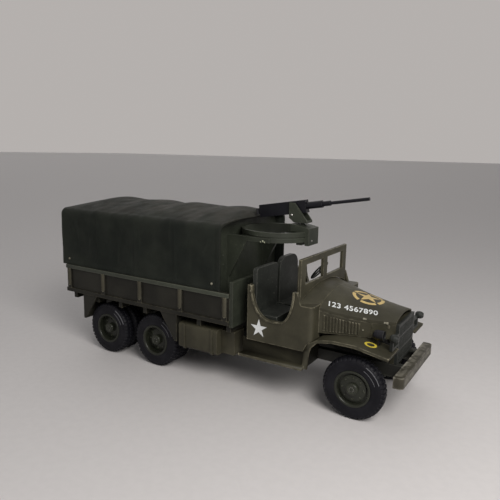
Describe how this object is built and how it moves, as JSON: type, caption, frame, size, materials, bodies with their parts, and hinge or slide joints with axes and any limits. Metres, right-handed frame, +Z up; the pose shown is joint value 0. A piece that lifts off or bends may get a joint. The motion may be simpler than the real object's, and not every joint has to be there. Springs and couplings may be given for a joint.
{
  "type": "die-cast model of a six-wheel military cargo truck",
  "caption": "Small die-cast model of a six-wheel military cargo truck with an open cab, a moulded canvas cover and a ring mount with a toy gun, on rolling wheels",
  "frame": {"origin": "on the ground under the middle of the model's box", "axes": "+X forward along the truck, +Y to its left, +Z up"},
  "size_m": [0.1292, 0.0434, 0.0619],
  "materials": {
    "olive_body": "satin olive drab paint on a zinc casting",
    "bumper_worn": "olive drab paint rubbed pale",
    "chassis_black": "moulded dark chassis plastic",
    "canvas_green": "moulded cover with a cloth grain",
    "mount_green": "moulded dark green plastic",
    "gun_black": "moulded black plastic",
    "tyre_rubber": "dark soft tyre vinyl",
    "wheel_olive": "olive moulded wheel",
    "axle_steel": "bright axle wire",
    "seat_dark": "dark green moulded seat",
    "guard_dark": "dark grey green moulded guard"
  },
  "bodies": {
    "truck": {"chassis_frame": "chassis_black", "front_axle_case": "chassis_black", "middle_axle_case": "chassis_black", "rear_axle_case": "chassis_black", "front_springs": "chassis_black", "rear_springs": "chassis_black", "bogie_trunnion": "chassis_black", "power_unit": "chassis_black", "drive_line": "chassis_black", "front_bumper": "bumper_worn", "fuel_tank": "olive_body", "tool_chest": "olive_body", "radiator_shell": "olive_body", "bonnet": "olive_body", "bonnet_side_left": "olive_body", "bonnet_side_right": "olive_body", "fender_left": "olive_body", "fender_right": "olive_body", "cab_tub": "olive_body", "windscreen_frame": "olive_body", "bed_floor": "olive_body", "bed_side_left": "olive_body", "bed_side_right": "olive_body", "headboard": "mount_green", "tailgate": "olive_body", "splash_flaps": "olive_body", "grille_guard": "guard_dark", "headlamps": "gun_black", "steering_wheel": "seat_dark", "driver_seat": "seat_dark", "passenger_seat": "seat_dark", "canvas_cover": "canvas_green", "mount_bulkhead": "mount_green", "gun_ring": "mount_green", "ring_carriage": "mount_green"},
    "front_wheels": {"front_tyres": "tyre_rubber", "front_rims": "wheel_olive", "front_axle_rod": "axle_steel"},
    "middle_wheels": {"middle_tyres": "tyre_rubber", "middle_rims": "wheel_olive", "middle_axle_rod": "axle_steel"},
    "rear_wheels": {"rear_tyres": "tyre_rubber", "rear_rims": "wheel_olive", "rear_axle_rod": "axle_steel"},
    "gun_mount": {"gun_cradle": "mount_green"},
    "gun": {"gun_receiver": "gun_black", "gun_barrel": "gun_black"}
  },
  "joints": [
    {"name": "front_axle_roll", "type": "hinge", "parent": "truck", "child": "front_wheels", "pos_m": [0.0509, 0, 0.0092], "axis": [0, 1, 0], "continuous": true},
    {"name": "middle_axle_roll", "type": "hinge", "parent": "truck", "child": "middle_wheels", "pos_m": [-0.0205, 0, 0.0092], "axis": [0, 1, 0], "continuous": true},
    {"name": "rear_axle_roll", "type": "hinge", "parent": "truck", "child": "rear_wheels", "pos_m": [-0.0431, 0, 0.0092], "axis": [0, 1, 0], "continuous": true},
    {"name": "gun_swivel", "type": "hinge", "parent": "truck", "child": "gun_mount", "pos_m": [0.025, 0, 0.052], "axis": [0, 0, 1], "range_deg": [-60, 60]},
    {"name": "gun_elevation", "type": "hinge", "parent": "gun_mount", "child": "gun", "pos_m": [0.0219, 0, 0.05481], "axis": [0, -1, 0], "range_deg": [-19.5, 10.5]}
  ]
}
